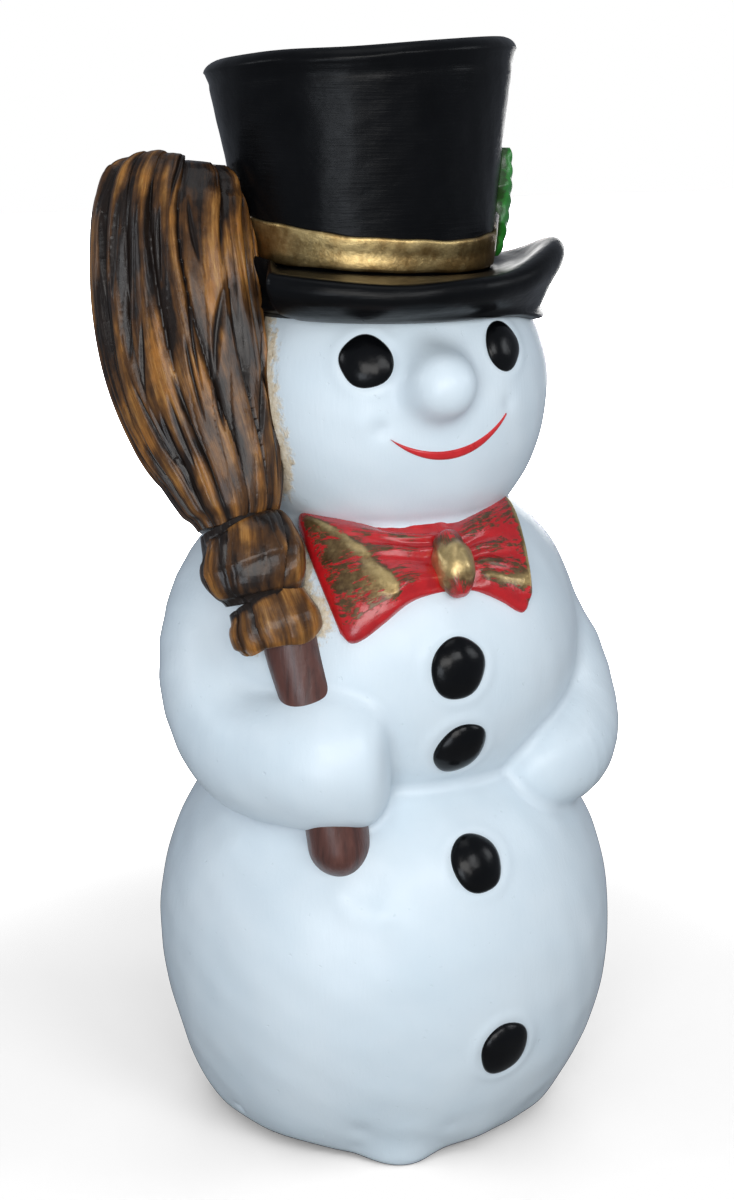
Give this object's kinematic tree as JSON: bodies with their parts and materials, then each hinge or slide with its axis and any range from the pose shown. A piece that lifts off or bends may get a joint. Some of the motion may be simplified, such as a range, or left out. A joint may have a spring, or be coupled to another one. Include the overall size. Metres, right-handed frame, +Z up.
{
  "type": "garden snowman figure",
  "caption": "Free-standing hollow moulded snowman with a top hat, bow tie and broom, closed by a base plate with rubber feet and threaded anchor inserts, and a vent plug at the rear.",
  "frame": {"origin": "middle of the underside, on the floor, at the underside of the central rubber foot", "axes": "+Z up along the body's axis, -Y towards the face, +X towards the figure's left hand"},
  "size_m": [0.3164, 0.2978, 0.6549],
  "materials": {
    "snow_paint": "satin white paint over moulded resin",
    "raw_resin": "unpainted resin and glass tape",
    "black_paint": "satin black paint",
    "eye_paint": "gloss black paint",
    "gold_paint": "metallic gold paint with brown patina",
    "red_paint": "satin red paint, dry-brushed with gold",
    "mouth_paint": "gloss red paint",
    "green_paint": "satin green paint",
    "straw_paint": "tan paint with a dark brown glaze",
    "stick_paint": "satin dark red-brown paint",
    "plywood": "sealed plywood",
    "steel": "zinc-plated",
    "brass": "plain brass",
    "rubber": "moulded rubber",
    "bush_plastic": "moulded nylon"
  },
  "bodies": {
    "figure": {"front_shell": "snow_paint", "rear_shell": "snow_paint", "seam_strip": "raw_resin", "right_arm": "snow_paint", "left_arm": "snow_paint", "nose": "snow_paint", "right_eye": "eye_paint", "left_eye": "eye_paint", "mouth": "mouth_paint", "bow_right_wing": "red_paint", "bow_left_wing": "red_paint", "bow_knot": "gold_paint", "top_button": "eye_paint", "second_button": "eye_paint", "third_button": "eye_paint", "bottom_button": "eye_paint", "hat_brim": "black_paint", "hat_crown": "black_paint", "hat_band": "gold_paint", "hat_leaf": "green_paint", "broom_stick": "stick_paint", "broom_bristles": "straw_paint", "broom_binding": "straw_paint", "broom_collar": "straw_paint", "base_plate": "plywood", "base_ring": "plywood", "base_screws": "steel", "rubber_feet": "rubber", "anchor_inserts": "brass", "vent_bush": "bush_plastic"},
    "plug": {"vent_plug": "rubber"}
  },
  "joints": [
    {"name": "plug_pull", "type": "slide", "parent": "figure", "child": "plug", "axis": [0, 1, 0], "range_m": [0, 0.025]}
  ]
}
